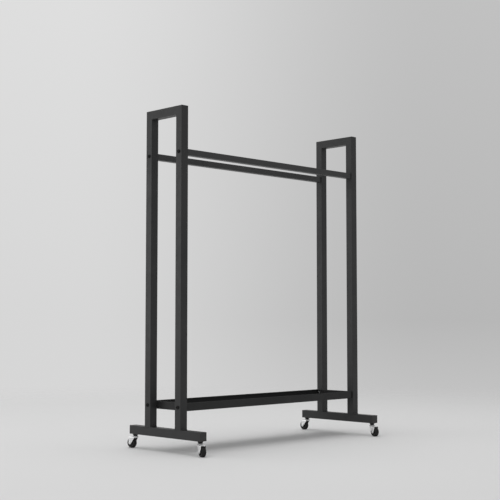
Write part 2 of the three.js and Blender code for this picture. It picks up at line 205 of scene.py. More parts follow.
# Samples taken to find an edge, and the cosines of a turn that is one and of a turn that is none
EDGE_SAMPLES = 4
EDGE_TURN = (0.86, 0.99)


# Places worked out from the frame

def middle(node):
    low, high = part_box(node)
    return (low + high) / 2


def joint_place(name):
    return Vector(next(j for j in frame["joints"] if j["name"] == name)["pos_m"])


foot_bar_low, foot_bar_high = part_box("left_foot_bar")
TUBE = foot_bar_high.z - foot_bar_low.z
foot_underside, foot_top = foot_bar_low.z, foot_bar_high.z
frame_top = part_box("left_top_bar")[1].z
posts_middle = (middle("left_front_post") + middle("right_back_post")) / 2

axle_height = joint_place("left_front_roll").z
TRAIL = (joint_place("left_front_roll") - joint_place("left_front_swivel")).xy.length
crown_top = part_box("left_front_caster_fork")[1].z
crown_underside = crown_top - FORK_SHEET
race_bottom = crown_top + SEAT_GAP
race_top = race_bottom + RACE_HEIGHT
stem_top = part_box("left_front_caster_stem")[1].z


# Camera at the photograph's viewpoint, with its sensor and lens in millimetres

# From midway between the posts, level with the foot bars' underside
CAMERA_OFFSET = Vector((-2.3908, -2.3684, 0.3327))
CAMERA_YAW = math.radians(44.832)
CAMERA_PITCH = math.radians(3.772)
CAMERA_SENSOR = 36
CAMERA_LENS = 77.2
CAMERA_REACH = (0.05, 200)

camera_data = bpy.data.cameras.new("camera")
camera_data.sensor_width = CAMERA_SENSOR
camera_data.lens = CAMERA_LENS
camera_data.clip_start, camera_data.clip_end = CAMERA_REACH
camera = bpy.data.objects.new("camera", camera_data)
camera.location = Vector((posts_middle.x, posts_middle.y, foot_underside)) + CAMERA_OFFSET
camera.rotation_euler = (math.pi / 2 + CAMERA_PITCH, 0, -CAMERA_YAW)
bpy.context.scene.collection.objects.link(camera)
bpy.context.scene.camera = camera


# Materials

class Shader:
    """A Principled material and short calls that add nodes to it."""

    def __init__(self, name, roughness=0.5, metallic=0.0, specular=0.5):
        self.material = bpy.data.materials.new(name)
        self.material.use_nodes = True
        self.tree = self.material.node_tree
        self.surface = self.tree.nodes["Principled BSDF"]
        self.surface.inputs["Roughness"].default_value = roughness
        self.surface.inputs["Metallic"].default_value = metallic
        self.surface.inputs["Specular IOR Level"].default_value = specular
        self.place = self.tree.nodes.new("ShaderNodeTexCoord").outputs["Object"]
        self.normal = None

    def node(self, kind, **sockets):
        made = self.tree.nodes.new(kind)
        for name, value in sockets.items():
            self.connect(value, made.inputs[name.replace("_", " ")])
        return made

    def connect(self, value, socket):
        if isinstance(value, bpy.types.NodeSocket):
            self.tree.links.new(value, socket)
        else:
            socket.default_value = value

    def noise(self, scale, detail=3.0, vector=None):
        made = self.node("ShaderNodeTexNoise", Scale=scale, Detail=detail, Roughness=0.5,
                         Vector=vector or self.place)
        return made.outputs["Fac"]

    def stretched(self, scales):
        """The place scaled along each axis, for marks that are longer one way."""
        made = self.node("ShaderNodeMapping", Vector=self.place)
        made.inputs["Scale"].default_value = scales
        return made.outputs["Vector"]

    def spread(self, value, low, high, low_from=0.3, high_from=0.7):
        """The value's range low_from to high_from spread over low to high, and held at both ends."""
        return self.node("ShaderNodeMapRange", Value=value, From_Min=low_from, From_Max=high_from,
                         To_Min=low, To_Max=high).outputs["Result"]

    def mix(self, share, first, second):
        made = self.tree.nodes.new("ShaderNodeMix")
        made.data_type = "RGBA"
        self.connect(share, made.inputs["Factor"])
        self.connect(first, made.inputs["A"])
        self.connect(second, made.inputs["B"])
        return made.outputs["Result"]

    def times(self, first, second):
        made = self.tree.nodes.new("ShaderNodeMath")
        made.operation = "MULTIPLY"
        self.connect(first, made.inputs[0])
        self.connect(second, made.inputs[1])
        return made.outputs["Value"]

    def bump(self, height, distance):
        """One more layer of bump on top of those before it."""
        made = self.node("ShaderNodeBump", Height=height, Distance=distance, Strength=1.0)
        if self.normal is not None:
            self.tree.links.new(self.normal, made.inputs["Normal"])
        self.normal = made.outputs["Normal"]
        self.tree.links.new(self.normal, self.surface.inputs["Normal"])

    def color(self, value):
        self.connect(value, self.surface.inputs["Base Color"])

    def rough(self, value):
        self.connect(value, self.surface.inputs["Roughness"])

    def edge(self, radius):
        """Nearly 0 on flat faces and rising where the surface turns within the radius."""
        bevel = self.node("ShaderNodeBevel", Radius=radius)
        bevel.samples = EDGE_SAMPLES
        plain = self.tree.nodes.new("ShaderNodeNewGeometry").outputs["Normal"]
        dot = self.tree.nodes.new("ShaderNodeVectorMath")
        dot.operation = "DOT_PRODUCT"
        self.tree.links.new(bevel.outputs["Normal"], dot.inputs[0])
        self.tree.links.new(plain, dot.inputs[1])
        return self.spread(dot.outputs["Value"], 1.0, 0.0, *EDGE_TURN)


def grey(level, warm=0.0):
    return (level * (1 + warm), level, level * (1 - warm), 1)


def powder_coat(name, level, gloss):
    """Satin black powder coat: orange peel, a fine speckle, clouds of dust and thinner coat on edges."""
    coat = Shader(name, specular=gloss)
    peel = coat.noise(750, detail=2)
    grain = coat.noise(3200, detail=2)
    cloud = coat.spread(coat.noise(9, detail=5), 0, 1)
    speckle = coat.spread(grain, 0, 0.5, 0.45, 0.8)
    dust_patches = coat.spread(coat.noise(35, detail=6), 0, 1, 0.5, 0.8)
    dust_grains = coat.spread(coat.noise(1400, detail=2), 0, 0.3, 0.5, 0.7)
    rub = coat.spread(coat.edge(COAT_RUB), 0, 0.3, 0, 1)
    base = coat.mix(cloud, grey(level, -0.02), grey(level * 1.3, -0.01))
    speckled = coat.mix(speckle, base, grey(0.05, -0.02))
    dusty = coat.mix(coat.times(dust_patches, dust_grains), speckled, grey(0.09, 0.04))
    coat.color(coat.mix(rub, dusty, grey(0.07)))
    coat.rough(coat.spread(coat.noise(60, detail=5), 0.38, 0.50))
    coat.bump(peel, 0.05 * MM)
    coat.bump(grain, 0.018 * MM)
    return coat.material


def moulded(name, level, roughness, grain_scale, grain_depth, scuffs=0.0, gloss=0.35):
    """Moulded plastic with a fine spark-eroded grain and, where it rubs, pale scuffs."""
    plastic = Shader(name, specular=gloss)
    cloud = plastic.spread(plastic.noise(120), 0, 1)
    scuff_marks = plastic.spread(plastic.noise(500, detail=5), 0, scuffs, 0.5, 0.75)
    scuff_patches = plastic.spread(plastic.noise(90, detail=2), 0, 1, 0.4, 0.65)
    base = plastic.mix(cloud, grey(level), grey(level * 1.35))
    plastic.color(plastic.mix(plastic.times(scuff_marks, scuff_patches), base, grey(level * 3, 0.06)))
    plastic.rough(plastic.spread(plastic.noise(400), roughness - 0.05, roughness + 0.07))
    plastic.bump(plastic.noise(grain_scale), grain_depth)
    return plastic.material


def black_oxide():
    """Oiled black oxide: near black, a little rubbed on the edges of the heads."""
    bolt = Shader("black_oxide", specular=0.2)
    cloud = bolt.spread(bolt.noise(700, detail=4), 0, 1)
    rub = bolt.spread(bolt.edge(BOLT_RUB), 0, 0.25, 0, 1)
    bolt.color(bolt.mix(rub, bolt.mix(cloud, grey(0.004), grey(0.009)), grey(0.04, 0.03)))
    bolt.rough(bolt.spread(bolt.noise(1500), 0.42, 0.56))
    bolt.bump(bolt.noise(2600), 0.008 * MM)
    return bolt.material


def plated(name, level, roughness, spangle, scratch_depth):
    """Plated steel: cloudy gloss, faint spangle and fine scratches."""
    metal = Shader(name, metallic=1.0)
    cloud = metal.spread(metal.noise(260, detail=4), 0, 1)
    scratches = metal.noise(900, detail=5, vector=metal.stretched((1, 6, 1)))
    metal.color(metal.mix(cloud, grey(level * spangle, -0.006), grey(level, -0.004)))
    metal.rough(metal.spread(metal.noise(500, detail=5), roughness, roughness + 0.1))
    metal.bump(scratches, scratch_depth)
    return metal.material


MATERIALS = {
    "powder_coat": powder_coat("powder_coat", level=0.021, gloss=0.3),
    "black_plastic": moulded("plug_plastic", level=0.026, roughness=0.5, grain_scale=2400,
                             grain_depth=0.012 * MM),
    "collar_plastic": moulded("collar_plastic", level=0.006, roughness=0.5, grain_scale=2400,
                              grain_depth=0.01 * MM),
    "black_bolt": black_oxide(),
    "zinc_steel": plated("zinc_plate", level=0.62, roughness=0.28, spangle=0.88, scratch_depth=0.006 * MM),
    "caster_steel": plated("nickel_plate", level=0.88, roughness=0.12, spangle=0.93,
                           scratch_depth=0.003 * MM),
    "wheel_plastic": moulded("wheel_plastic", level=0.011, roughness=0.45, grain_scale=2000,
                             grain_depth=0.012 * MM, scuffs=0.5),
    "tyre_rubber": moulded("tyre_rubber", level=0.010, roughness=0.6, grain_scale=1700,
                           grain_depth=0.02 * MM, scuffs=0.8, gloss=0.22),
}

# The rails' coat is a little paler than the end frames'. The tray's coat is darker and less glossy: painted
# shade, standing in for the shade that goods carried above the tray would cast on it
RAIL_COAT = powder_coat("rail_powder_coat", level=0.029, gloss=0.38)
TRAY_COAT_PAINTED_SHADE = powder_coat("tray_coat_with_painted_shade", level=0.015, gloss=0.22)


# Outlines

def rounded(corners, steps=FILLET_STEPS):
    """A closed outline through corners (x, y) or (x, y, radius), each radius turned into an arc."""
    points = []
    for i, (x, y, *rest) in enumerate(corners):
        radius = rest[0] if rest else 0
        here = Vector((x, y))
        if not radius:
            points.append(here)
            continue
        back = (Vector(corners[i - 1][:2]) - here).normalized()
        on = (Vector(corners[(i + 1) % len(corners)][:2]) - here).normalized()
        half = math.acos(max(-1, min(1, back.dot(on)))) / 2
        centre = here + (back + on).normalized() * radius / math.sin(half)
        first = here + back * radius / math.tan(half) - centre
        last = here + on * radius / math.tan(half) - centre
        sweep = math.atan2(first.x * last.y - first.y * last.x, first.dot(last))
        for step in range(steps + 1):
            points.append(centre + Matrix.Rotation(sweep * step / steps, 2) @ first)
    return points


def rectangle(width, height, radius):
    x, y = width / 2, height / 2
    return rounded([(x, -y, radius), (x, y, radius), (-x, y, radius), (-x, -y, radius)], CORNER_STEPS)


def square(size, radius):
    return rectangle(size, size, radius)


def arc(centre, radius, start, end, steps):
    angles = [start + (end - start) * step / steps for step in range(steps + 1)]
    return [Vector(centre) + radius * Vector((math.cos(angle), math.sin(angle))) for angle in angles]


def directions(steps):
    """Unit steps out from the middle that divide a whole turn."""
    return [(math.cos(angle), math.sin(angle)) for angle in (math.tau * i / steps for i in range(steps))]


def curve(start, control, end, steps):
    """Points of a quadratic curve, without its start."""
    start, control, end = Vector(start), Vector(control), Vector(end)
    shares = [step / steps for step in range(1, steps + 1)]
    return [(1 - t) ** 2 * start + 2 * t * (1 - t) * control + t ** 2 * end for t in shares]


def dense(outline, pitch):
    """The closed outline with its long stretches divided."""
    points = []
    for a, b in zip(outline, outline[1:] + outline[:1]):
        parts = max(1, round((b - a).length / pitch))
        points += [a.lerp(b, part / parts) for part in range(parts)]
    return points


# Solids

def skin(rings, closed=False):
    """A surface over rings of points; closed joins the last ring to the first, otherwise both get a cap."""
    shape = bmesh.new()
    levels = [[shape.verts.new(point) for point in ring] for ring in rings]
    for lower, upper in zip(levels, levels[1:] + (levels[:1] if closed else [])):
        for i in range(len(lower)):
            shape.faces.new((lower[i - 1], lower[i], upper[i], upper[i - 1]))
    if not closed:
        shape.faces.new(levels[0])
        shape.faces.new(levels[-1])
    return tidy(shape)


def tidy(shape):
    bmesh.ops.remove_doubles(shape, verts=shape.verts, dist=SAME_POINT)
    bmesh.ops.recalc_face_normals(shape, faces=shape.faces)
    return shape


def flat_ring(outline, z):
    return [Vector((x, y, z)) for x, y in outline]


def prism(outline, low, high):
    return skin([flat_ring(outline, low), flat_ring(outline, high)])


def turned(profile, steps, closed=False):
    """A solid of revolution about Z through (radius, z) points; closed goes round a hole."""
    rings = [[Vector((radius * x, radius * y, z)) for x, y in directions(steps)] for radius, z in profile]
    shape = skin(rings, closed)
    flat = [face for face in shape.faces if face.calc_area() < NO_AREA]
    bmesh.ops.delete(shape, geom=flat, context="FACES_ONLY")
    return tidy(shape)


def rod(radius, low, high, steps=CASTER_STEPS):
    return turned([(radius, low), (radius, high)], steps)


def hexagon(flats):
    return [Vector((math.cos(angle), math.sin(angle))) * flats / math.sqrt(3)
            for angle in (math.tau * (i + 0.5) / 6 for i in range(6))]


def combined(operation, solid, *others):
    """The solid after a union, difference or intersection with the others."""
    for other in others:
        pair = []
        for shape in (solid, other):
            mesh = bpy.data.meshes.new("working")
            shape.to_mesh(mesh)
            shape.free()
            pair.append(bpy.data.objects.new("working", mesh))
            bpy.context.scene.collection.objects.link(pair[-1])
        modifier = pair[0].modifiers.new("combine", "BOOLEAN")
        modifier.operation, modifier.solver, modifier.object = operation, "EXACT", pair[1]
        solid = bmesh.new()
        solid.from_object(pair[0], bpy.context.evaluated_depsgraph_get())
        for working in pair:
            mesh = working.data
            bpy.data.objects.remove(working)
            bpy.data.meshes.remove(mesh)
    return tidy(solid)


def eased(shape, radius):
    """The shape with its sharp edges rounded, once the short edges where outlines meet are merged away."""
    bmesh.ops.dissolve_limit(shape, angle_limit=FLAT_TURN, verts=shape.verts, edges=shape.edges)
    bmesh.ops.dissolve_degenerate(shape, edges=shape.edges, dist=SHORT_EDGE)
    edges = [edge for edge in tidy(shape).edges if edge.calc_face_angle(0) > SHARP_TURN]
    bmesh.ops.bevel(shape, geom=edges, offset=radius, offset_type="OFFSET", segments=EASED_STEPS,
                    profile=0.5, affect="EDGES", clamp_overlap=False)
    bmesh.ops.remove_doubles(shape, verts=shape.verts, dist=CLOSE_POINTS)
    bmesh.ops.dissolve_degenerate(shape, edges=shape.edges, dist=CLOSE_POINTS)
    return tidy(shape)


def moved(shape, *matrices):
    """A copy of the shape, moved by each matrix in turn."""
    copy = shape.copy()
    for matrix in matrices:
        copy.transform(matrix)
    return copy


def shift(x=0.0, y=0.0, z=0.0):
    return Matrix.Translation((x, y, z))


def turn(degrees, axis):
    return Matrix.Rotation(math.radians(degrees), 4, axis)


def add_piece(name, shape, slot, body="stand", replaces=None, sharp=SHARP_TURN, coat=None):
    """Turns a shape into a smooth-shaded object of the stand and lets go of the shape."""
    mesh = bpy.data.meshes.new(name)
    shape.to_mesh(mesh)
    shape.free()
    mesh.polygons.foreach_set("use_smooth", [True] * len(mesh.polygons))
    mesh.set_sharp_from_angle(angle=sharp)
    mesh.materials.append(coat or MATERIALS[slot])
    piece = bpy.data.objects.new(name, mesh)
    bpy.context.scene.collection.objects.link(piece)
    piece.modifiers.new("normals", "WEIGHTED_NORMAL").keep_sharp = True
    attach(piece, body)
    if replaces:
        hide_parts(replaces)


# Tubes of the end frames and the rails

def tube(size, corner, wall, low, high, low_end=None, high_end=None):
    """Square tube along Z; low_end and high_end give an end's set-back at a point of the outline."""
    def ring(outline, level, inward, set_back, depth=0):
        return [Vector((x, y, level + inward * (depth + (set_back(x, y) if set_back else 0))))
                for x, y in outline]

    ends = [(low, 1, low_end), (high, -1, high_end)]
    rings = []
    for level, inward, set_back in ends:
        edge = MITRE_EDGE if set_back else SAWN_EDGE
        for inset, depth in ((edge, 0), (0, edge))[::inward]:
            outline = square(size - 2 * inset, corner - inset)
            rings.append(ring(outline, level, inward, set_back, depth))
    hollow = square(size - 2 * wall, max(corner - wall, wall / 4))
    rings += [ring(hollow, *end) for end in reversed(ends)]
    return skin(rings, closed=True)


def frame_tube(low, high, **ends):
    return tube(TUBE, TUBE_CORNER, TUBE_WALL, low, high, **ends)


def add_post(end, face):
    corner, side = f"{end}_{face}", FACES[face]
    centre = middle(f"{corner}_post")
    post = frame_tube(foot_top, frame_top, high_end=lambda x, y: TUBE / 2 - side * y)
    holes = [moved(rod(BOLT_RADIUS + SEAT_GAP, -TUBE, TUBE, BOLT_STEPS),
                   shift(z=middle(f"{corner}_{bolt}").z) @ turn(90, "Y")) for bolt in BOLT_KINDS]
    add_piece(f"{corner}_post_tube", moved(combined("DIFFERENCE", post, *holes), shift(centre.x, centre.y)),
              "powder_coat", replaces=f"{corner}_post")


def add_top_bar(end):
    bar = middle(f"{end}_top_bar")
    length = middle(f"{end}_back_post").y - middle(f"{end}_front_post").y + TUBE
    top_bar = frame_tube(-length / 2, length / 2,
                         low_end=lambda x, y: TUBE / 2 + y, high_end=lambda x, y: TUBE / 2 + y)
    add_piece(f"{end}_top_bar_tube",
              moved(top_bar, turn(-90, "X"), shift(bar.x, bar.y, frame_top - TUBE / 2)),
              "powder_coat", replaces=f"{end}_top_bar")


def add_foot_bar(end):
    low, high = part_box(f"{end}_foot_bar")
    foot_bar = frame_tube(low.y, high.y)
    foot_bar.transform(shift(middle(f"{end}_top_bar").x, 0, foot_top - TUBE / 2) @ turn(-90, "X"))
    stems = [joint_place(f"{end}_{face}_swivel") for face in FACES]
    holes = [moved(rod(STEM_RADIUS + SEAT_GAP, -TUBE / 2, TUBE / 2), shift(stem.x, stem.y, foot_underside))
             for stem in stems]
    add_piece(f"{end}_foot_bar_tube", combined("DIFFERENCE", foot_bar, *holes), "powder_coat",
              replaces=f"{end}_foot_bar")


def add_rail(face):
    low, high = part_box(f"{face}_rail")
    rail = tube(high.z - low.z, RAIL_CORNER, RAIL_WALL, low.x, high.x)
    rail.transform(shift(0, (low.y + high.y) / 2, (low.z + high.z) / 2) @ turn(90, "Y"))
    add_piece(f"{face}_rail_tube", rail, "powder_coat", replaces=f"{face}_rail", coat=RAIL_COAT)


# Welds

def run(path, radius, ripple=0.0, closed=True):
    """A weld run: a rounded bead along a path, with the ripples that its pool leaves."""
    last = len(path) - 1
    lengths = [0.0]
    for a, b in zip(path, path[1:]):
        lengths.append(lengths[-1] + (b - a).length)
    rings = []
    for i, point in enumerate(path):
        before, after = (i - 1, (i + 1) % len(path)) if closed else (max(i - 1, 0), min(i + 1, last))
        along = path[after] - path[before]
        steep = abs(along.normalized().z) > RUN_STEEP
        side = (along.orthogonal() if steep else along.cross(UPWARD)).normalized()
        up = side.cross(along).normalized()
        wave = math.sin(math.tau * lengths[i] / RIPPLE_PITCH)
        swell = SWELL_SHARE * math.sin(lengths[i] / SWELL_LENGTH)
        taper = 1.0 if closed else min(1.0, (RUN_END_SHARE + min(i, last - i) / RUN_TAPER_STEPS) ** 0.5)
        reach = radius * taper + ripple * (wave + swell)
        rings.append([point + reach * (side * across + up * rise)
                      for across, rise in directions(RUN_SIDES)])
    return skin(rings, closed)


def add_mitre_welds(end, face):
    """The seam of a post's mitre and the run in the mitre's inner corner."""
    post, side = f"{end}_{face}_post", FACES[face]
    centre = middle(post)
    place = shift(centre.x, centre.y)
    outline = square(TUBE - 2 * SEAM_INSET, SEAM_CORNER)
    seam = [place @ Vector((x, y, frame_top - TUBE / 2 + side * y)) for x, y in outline]
    add_piece(f"{post}_mitre_seam", run(seam, SEAM_RADIUS), "powder_coat")

    x, half = middle(f"{end}_top_bar").x, TUBE / 2 - TUBE_CORNER / 2
    y = centre.y - side * TUBE / 2 - side * RUN_STANDOFF
    path = [Vector((x + half * (2 * i / INNER_RUN_STEPS - 1), y, frame_top - TUBE - RUN_STANDOFF))
            for i in range(INNER_RUN_STEPS + 1)]
    add_piece(f"{post}_inner_run", run(path, INNER_RUN_RADIUS, RIPPLE_HEIGHT, closed=False), "powder_coat")


def add_foot_run(end, face):
    """The run round a post's foot, sunk where both tubes' sides are flush and in the corner elsewhere."""
    post = f"{end}_{face}_post"
    centre = middle(post)
    path = []
    for x, y in dense(square(TUBE, TUBE_CORNER), RIPPLE_STEP):
        flush = min(1.0, max(0.0, (abs(x) - TUBE / 2 + 2 * TUBE_CORNER) / (2 * TUBE_CORNER)))
        flush = flush * flush * (3 - 2 * flush)
        across = x * (1 - flush * FOOT_RUN_INSET / (TUBE / 2))
        level = foot_top + RUN_STANDOFF - flush * FOOT_RUN_SINK
        path.append(Vector((centre.x + across, centre.y + y, level)))
    add_piece(f"{post}_foot_run", run(path, FOOT_RUN_RADIUS, RIPPLE_HEIGHT), "powder_coat",
              sharp=SHARP_TURN_ON_RUNS)


# Tray folded from one sheet, its rim hemmed inward

def tray_rings(size):
    """Rings from the middle of the underside, up the outside, over the hem and down to the floor's top."""
    def bend(x, z, radius, start, end, steps=CORNER_STEPS):
        points = arc((0, 0), radius, math.radians(start), math.radians(end), steps)
        return [(x + point.x, z + point.y) for point in points]

    hem_end = size.z - HEM_HEIGHT
    inner_bend = TRAY_BEND - TRAY_SHEET
    hem_edge = TRAY_SHEET / 4
    crevice = TRAY_SHEET + HEM_CREVICE
    profile = [
        (TRAY_BEND + TRAY_FLOOR_MARGIN, 0),
        *bend(TRAY_BEND, TRAY_BEND, TRAY_BEND, 270, 180),
        *bend(TRAY_SHEET, size.z - TRAY_SHEET, TRAY_SHEET, 180, 0, 2 * CORNER_STEPS),
        *bend(2 * TRAY_SHEET - hem_edge, hem_end + hem_edge, hem_edge, 0, -90, HEM_EDGE_STEPS),
        (crevice + hem_edge, hem_end),
        (crevice, hem_end + hem_edge),
        (crevice, hem_end + TRAY_SHEET),
        (TRAY_SHEET, hem_end + TRAY_SHEET),
        *bend(TRAY_SHEET + inner_bend, TRAY_SHEET + inner_bend, inner_bend, 180, 270),
        (TRAY_BEND + TRAY_FLOOR_MARGIN, TRAY_SHEET),
    ]
    return [flat_ring(rectangle(size.x - 2 * inset, size.y - 2 * inset,
                                max(TRAY_CORNER - inset, TRAY_LEAST_CORNER)), z) for inset, z in profile]


def add_tray():
    low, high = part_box("tray")
    centre = (low + high) / 2
    tray = skin(tray_rings(high - low))
    tray.transform(shift(centre.x, centre.y, low.z))
    bolts = [middle(f"left_{face}_tray_bolt") for face in FACES]
    holes = [moved(rod(BOLT_RADIUS + SEAT_GAP, low.x - OVERRUN, high.x + OVERRUN, BOLT_STEPS),
                   turn(90, "Y"), shift(y=bolt.y, z=bolt.z)) for bolt in bolts]
    # The tray's darker coat is painted shade
    add_piece("tray_sheet", combined("DIFFERENCE", tray, *holes), "powder_coat", replaces="tray",
              coat=TRAY_COAT_PAINTED_SHADE)


# Bolts and nuts

def button_bolt(length):
    """Its shank runs down from Z = 0, with a rolled thread at its end and a hexagon socket in its head."""
    thread_start = -length + THREAD_LENGTH
    spokes = directions(BOLT_STEPS)
    rings = []
    for i in range(int(THREAD_LENGTH / THREAD_PITCH * THREAD_STEPS)):
        z = -length + THREAD_PITCH * i / THREAD_STEPS
        tip = min(1.0, (z + length) / BOLT_TIP_CHAMFER)
        fade = min(1.0, (thread_start - z) / THREAD_FADE)
        core = BOLT_RADIUS - BOLT_TIP_CHAMFER * (1 - tip)
        ring = []
        for k, (x, y) in enumerate(spokes):
            phase = (z / THREAD_PITCH - k / BOLT_STEPS) % 1.0
            groove = max(0.0, 1 - THREAD_STEEPNESS * abs(phase - 0.5)) * THREAD_DEPTH * fade
            radius = min(core, BOLT_RADIUS - groove)
            ring.append(Vector((radius * x, radius * y, z)))
        rings.append(ring)
    dome = [(BOLT_TOP_RADIUS + (BOLT_HEAD_RADIUS - BOLT_TOP_RADIUS) * math.cos(angle),
             BOLT_HEAD_FLAT + (BOLT_HEAD_HEIGHT - BOLT_HEAD_FLAT) * math.sin(angle))
            for angle in (math.pi / 2 * i / DOME_STEPS for i in range(DOME_STEPS + 1))]
    upper = [(BOLT_RADIUS, thread_start), (BOLT_RADIUS, 0), (BOLT_HEAD_RADIUS - BOLT_HEAD_EDGE, 0),
             (BOLT_HEAD_RADIUS, BOLT_HEAD_EDGE), *dome, (BOLT_TOP_RING, BOLT_HEAD_HEIGHT)]
    rings += [[Vector((radius * x, radius * y, z)) for x, y in spokes] for radius, z in upper]
    socket = prism(hexagon(BOLT_SOCKET_FLATS), BOLT_HEAD_HEIGHT - BOLT_SOCKET_DEPTH,
                   BOLT_HEAD_HEIGHT + OVERRUN)
    mouth_radius = BOLT_SOCKET_FLATS / math.sqrt(3) + BOLT_SOCKET_MOUTH
    mouth = turned([(0, BOLT_HEAD_HEIGHT - mouth_radius), (mouth_radius, BOLT_HEAD_HEIGHT),
                    (mouth_radius, BOLT_HEAD_HEIGHT + OVERRUN), (0, BOLT_HEAD_HEIGHT + OVERRUN)],
                   BOLT_STEPS)
    return combined("DIFFERENCE", skin(rings), socket, mouth)


def hex_nut(height):
    """A nut standing on Z = 0 whose corners are turned to a chamfer on both faces."""
    corner = NUT_FLATS / math.sqrt(3)
    cut_in = corner - NUT_FLATS / 2 * NUT_FACE_SHARE
    cut_down = cut_in * math.tan(NUT_CHAMFER)
    blank = prism(hexagon(NUT_FLATS), 0, height)
    cone = turned([(corner - cut_in, 0), (corner, cut_down), (corner, height - cut_down),
                   (corner - cut_in, height)], CASTER_STEPS)
    countersink = NUT_HOLE_RADIUS + NUT_COUNTERSINK
    hole = turned([(countersink + OVERRUN, -OVERRUN), (NUT_HOLE_RADIUS, NUT_COUNTERSINK),
                   (NUT_HOLE_RADIUS, height - NUT_COUNTERSINK), (countersink + OVERRUN, height + OVERRUN)],
                  BOLT_STEPS)
    return combined("DIFFERENCE", combined("INTERSECT", blank, cone), hole)


def bolt_length(node):
    low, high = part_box(node)
    return high.x - low.x - BOLT_HEAD_HEIGHT


# How far each socket happened to be turned when its bolt was tightened, in degrees
SOCKET_TURNS = {
    "left_front_rail_bolt": 12, "left_front_tray_bolt": 47,
    "left_back_rail_bolt": 33, "left_back_tray_bolt": 5,
    "right_front_rail_bolt": 21, "right_front_tray_bolt": 54,
    "right_back_rail_bolt": 40, "right_back_tray_bolt": 16,
}
BOLTS = {bolt: button_bolt(bolt_length(f"left_front_{bolt}")) for bolt in BOLT_KINDS}
nut_low, nut_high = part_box("left_front_tray_nut")
TRAY_NUT = hex_nut(nut_high.x - nut_low.x)


def add_fasteners(end, face):
    outward = ENDS[end]
    for bolt in BOLT_KINDS:
        node = f"{end}_{face}_{bolt}"
        centre = middle(node)
        head_seat = centre.x + outward * (bolt_length(node) - BOLT_HEAD_HEIGHT) / 2
        add_piece(f"{node}_button", moved(BOLTS[bolt], turn(SOCKET_TURNS[node], "Z"),
                                          turn(90 * outward, "Y"), shift(head_seat, centre.y, centre.z)),
                  "black_bolt", replaces=node)
    node = f"{end}_{face}_tray_nut"
    centre = middle(node)
    add_piece(f"{node}_hex", moved(TRAY_NUT, turn(90, "Y"), shift(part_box(node)[0].x, centre.y, centre.z)),
              "zinc_steel", replaces=node)


# Plugs in the ends of the foot bars

def foot_plug():
    """Its flange points to +Z from Z = 0; its skirt reaches down into the bar."""
    rings = [flat_ring(square(TUBE, TUBE_CORNER), 0)]
    edge = PLUG_FLANGE - PLUG_CROWN - PLUG_ROUNDING
    for point in arc((0, edge), PLUG_ROUNDING, 0, math.pi / 2, CORNER_STEPS):
        inset = PLUG_ROUNDING - point.x
        rings.append(flat_ring(square(TUBE - 2 * inset, TUBE_CORNER - inset), point.y))
    for step in range(1, PLUG_CROWN_STEPS + 1):
        share = step / PLUG_CROWN_STEPS
        inset = PLUG_ROUNDING + share * PLUG_CROWN_REACH
        crown = PLUG_CROWN * (1 - (1 - share) ** 2)
        rings.append(flat_ring(square(TUBE - 2 * inset, TUBE_CORNER - PLUG_ROUNDING),
                               PLUG_FLANGE - PLUG_CROWN + crown))
    outer = TUBE - 2 * TUBE_WALL - 2 * SEAT_GAP
    hollow = outer - 2 * PLUG_SKIRT_WALL
    skirt = skin([flat_ring(square(size, corner), z) for size, corner, z in (
        (outer - PLUG_SKIRT_TAPER, PLUG_SKIRT_WALL, -PLUG_SKIRT_DEPTH),
        (outer, PLUG_SKIRT_WALL, -PLUG_SKIRT_DEPTH + PLUG_SKIRT_LEAD),
        (outer, PLUG_SKIRT_WALL, PLUG_SKIRT_OVERLAP),
        (hollow, PLUG_SKIRT_WALL / 2, PLUG_SKIRT_OVERLAP),
        (hollow, PLUG_SKIRT_WALL / 2, -PLUG_SKIRT_DEPTH),
    )], closed=True)
    return combined("UNION", skin(rings), skirt)


FOOT_PLUG = foot_plug()


def add_foot_plug(end, face):
    node, side = f"{end}_{face}_foot_plug", FACES[face]
    low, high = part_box(node)
    seat = (high.y if side > 0 else low.y) - side * PLUG_FLANGE
    add_piece(f"{node}_moulding", moved(FOOT_PLUG, turn(-90 * side, "X"),
                                        shift(middle(node).x, seat, foot_top - TUBE / 2)),
              "black_plastic", replaces=node)


# Casters, built about their swivel axis on Z with the wheel trailing along +X

def caster_stem():
    rivet_top = crown_underside - SEAT_GAP
    return turned(rounded([
        (0, rivet_top - RIVET_HEIGHT),
        (RIVET_RADIUS, rivet_top - RIVET_HEIGHT, RIVET_ROUNDING),
        (RIVET_RADIUS, rivet_top, FINE_EDGE),
        (STEM_RADIUS, rivet_top),
        (STEM_RADIUS, race_bottom),
        (RACE_RADIUS, race_bottom, BROKEN_EDGE),
        (RACE_RADIUS, race_top, RACE_ROUNDING),
        (STEM_RADIUS, race_top),
        (STEM_RADIUS, stem_top, STEM_ROUNDING),
        (0, stem_top),
    ]), CASTER_STEPS)


def caster_collar():
    bottom, top = race_top + SEAT_GAP, foot_underside - SEAT_GAP
    hole = STEM_RADIUS + SEAT_GAP
    return turned(rounded([
        (hole, bottom),
        (COLLAR_BOTTOM_RADIUS, bottom, BROKEN_EDGE),
        (COLLAR_TOP_RADIUS, top - COLLAR_BAND, COLLAR_SHOULDER),
        (COLLAR_TOP_RADIUS, top, COLLAR_TOP_EDGE),
        (hole, top),
    ]), CASTER_STEPS, closed=True)


def fork_side(tail):
    """The side outline in X and Z: the crown, the raked legs and the boss round the axle."""
    boss = arc((TRAIL, axle_height), FORK_BOSS_RADIUS, *FORK_BOSS_TURN, 3 * CORNER_STEPS)
    throat_start = (-FORK_THROAT - FORK_FILLET, crown_underside)
    throat_end = (FORK_FILLET / 2 - FORK_THROAT, crown_underside - FORK_FILLET)
    leg_bend = (tail - FORK_FILLET / 2, (axle_height + crown_underside) / 2)
    return [
        (-FORK_HALF, crown_underside),
        throat_start,
        *curve(throat_start, (-FORK_THROAT, crown_underside), throat_end, CORNER_STEPS),
        *boss,
        *curve(boss[-1], leg_bend, (tail, crown_underside), CORNER_STEPS),
        (tail, crown_top),
        (-FORK_HALF, crown_top),
    ]


